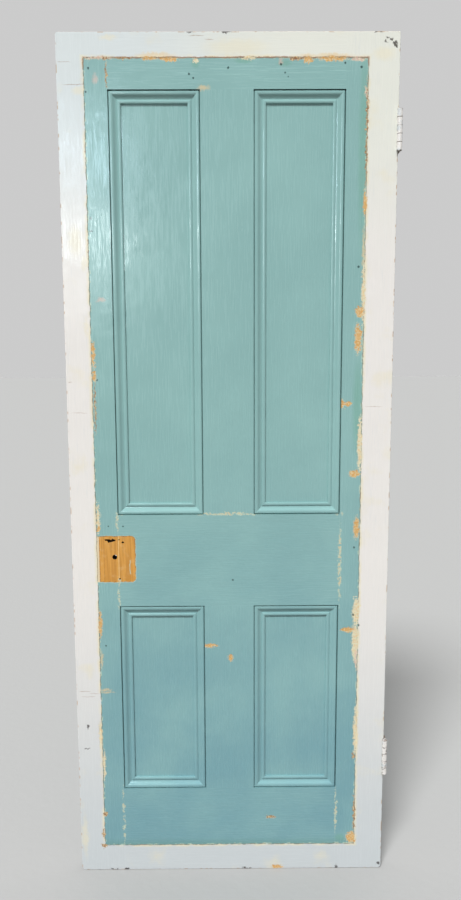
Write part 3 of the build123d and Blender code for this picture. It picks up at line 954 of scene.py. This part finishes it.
def cut_slot(screw):
    """Cuts the head along both sides of the slot and pushes in the strip between."""
    for side in (-1, 1):
        pick_faces(screw, lambda middle, normal: normal.x > ALONG_THE_SCREW)
        bpy.ops.mesh.bisect(plane_co=(0, 0, side * SLOT_WIDTH / 2), plane_no=(0, 0, 1))
    pick_faces(screw, lambda middle, normal: normal.x > ALONG_THE_SCREW and abs(middle.z) < SLOT_WIDTH / 4)
    bpy.ops.mesh.extrude_region_move(TRANSFORM_OT_translate={"value": (-SLOT_DEPTH, 0, 0)})
    bpy.ops.object.mode_set(mode="OBJECT")


def slotted_screw():
    """One whole screw, smooth round its head and shank and sharp at their edges."""
    screw = turned_screw()
    cut_slot(screw)
    bpy.ops.object.shade_smooth_by_angle(angle=math.radians(SMOOTH_UNDER))
    screw.data.materials.append(screw_steel())
    return screw


def hinge_screws():
    """Three screws in each hinge, each with its slot at its own angle, in place of the plain CAD screws."""
    first = slotted_screw()
    copies = []
    for hinge, height in enumerate(HINGE_HEIGHTS):
        for number, (across, up) in enumerate(SCREW_PLACES):
            copy = first.copy()
            copy.data = first.data.copy()
            bpy.context.collection.objects.link(copy)
            place = Vector((SCREW_FACE, PIN_PLACE[1] + across, height + up))
            angle = SLOT_TURN + SLOT_TURN_PER_SCREW * number + SLOT_TURN_PER_HINGE * hinge
            turn = Matrix.Rotation(math.radians(angle), 4, "X")
            copy.data.transform(Matrix.Translation(place) @ turn)
            copies.append(copy)
    bpy.data.objects.remove(first)

    bpy.ops.object.select_all(action="DESELECT")
    for copy in copies:
        copy.select_set(True)
    bpy.context.view_layer.objects.active = copies[0]
    bpy.ops.object.join()
    screws = bpy.context.object
    screws.name = "slotted_hinge_screws"
    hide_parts("hinge_screws")
    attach(screws, "door")


def seen_directly(mix):
    """1 for what the camera sees straight, in a mirror or through glass, and 0 for light that only fills."""
    path = mix.tree.nodes.new("ShaderNodeLightPath").outputs
    seen = mix.larger(path["Is Camera Ray"], path["Is Glossy Ray"])
    return mix.larger(seen, path["Is Transmission Ray"])


def floor():
    """A wide pale floor, which throws little light back up at the door."""
    bpy.ops.object.select_all(action="DESELECT")
    bpy.ops.mesh.primitive_plane_add(size=FLOOR_WIDTH)
    ground = bpy.context.object
    ground.name = "floor"
    mix = Finish("floor_finish")
    shade = mix.blend(seen_directly(mix), FLOOR_DEEP, FLOOR_PALE)
    ground.data.materials.append(mix.finish(shade, 0.9, mix.noise(mix.place, 40.0)))
    mix.shader.inputs["Specular IOR Level"].default_value = 0.0


def stand(name, data):
    """Puts a lamp or a camera in the scene."""
    holder = bpy.data.objects.new(name, data)
    bpy.context.collection.objects.link(holder)
    return holder


def window_pane(low, high, level, tint):
    """One pane of the window: only glossy surfaces show its light."""
    lamp = bpy.data.lights.new("window_pane", "AREA")
    lamp.shape = "RECTANGLE"
    lamp.size = WINDOW_WIDTH
    lamp.size_y = high - low
    lamp.energy = level * WINDOW_WIDTH * (high - low)
    lamp.color = tint
    pane = stand("window_pane", lamp)
    pane.location = (*WINDOW_PLACE, (low + high) / 2)
    pane.rotation_euler = (math.pi / 2, 0, math.radians(WINDOW_TURN))
    pane.visible_diffuse = False


def high_light():
    """A broad soft light from high before the door, like the open sky. The gloss paint doesn't mirror it."""
    lamp = bpy.data.lights.new("high_light", "SUN")
    lamp.energy = HIGH_LIGHT_POWER
    lamp.angle = math.radians(HIGH_LIGHT_SPREAD)
    lamp.color = HIGH_LIGHT_COLOUR
    light = stand("high_light", lamp)
    light.rotation_euler = (math.radians(90 - HIGH_LIGHT_ELEVATION), 0, math.radians(HIGH_LIGHT_TURN))
    light.visible_glossy = False


def sky():
    """Soft white light from all round, stronger behind the door, where the high light doesn't reach."""
    world = bpy.data.worlds.new("studio")
    bpy.context.scene.world = world
    world.use_nodes = True
    mix = Mix(world.node_tree)
    background = mix.tree.nodes["Background"]
    background.inputs["Color"].default_value = (1.0, 1.0, 1.0, 1.0)
    outwards = mix.tree.nodes.new("ShaderNodeTexCoord").outputs["Generated"]
    behind = mix.rise(mix.parts(outwards)[1], -0.05, 0.35)
    fill = mix.plus(FILL_LIGHT, mix.times(behind, BACK_LIGHT))
    to_backdrop = mix.times(seen_directly(mix), mix.minus(BACKDROP_LEVEL, fill))
    mix.fill(background.inputs["Strength"], mix.plus(fill, to_backdrop))


def camera():
    """Stands where the photograph was taken: 1.64 m before the door, 1.285 m up, looking a little down."""
    lens = bpy.data.cameras.new("camera")
    lens.sensor_width = CAMERA_SENSOR
    lens.lens = CAMERA_LENS
    holder = stand("camera", lens)
    holder.location = CAMERA_PLACE
    holder.rotation_euler = [math.radians(angle) for angle in CAMERA_TURN]
    bpy.context.scene.camera = holder


paint_the_door()
hinge_screws()
floor()
sky()
high_light()
for low, high, level, tint in WINDOW_PANES:
    window_pane(low, high, level, tint)
camera()
bpy.context.scene.view_settings.view_transform = "Standard"
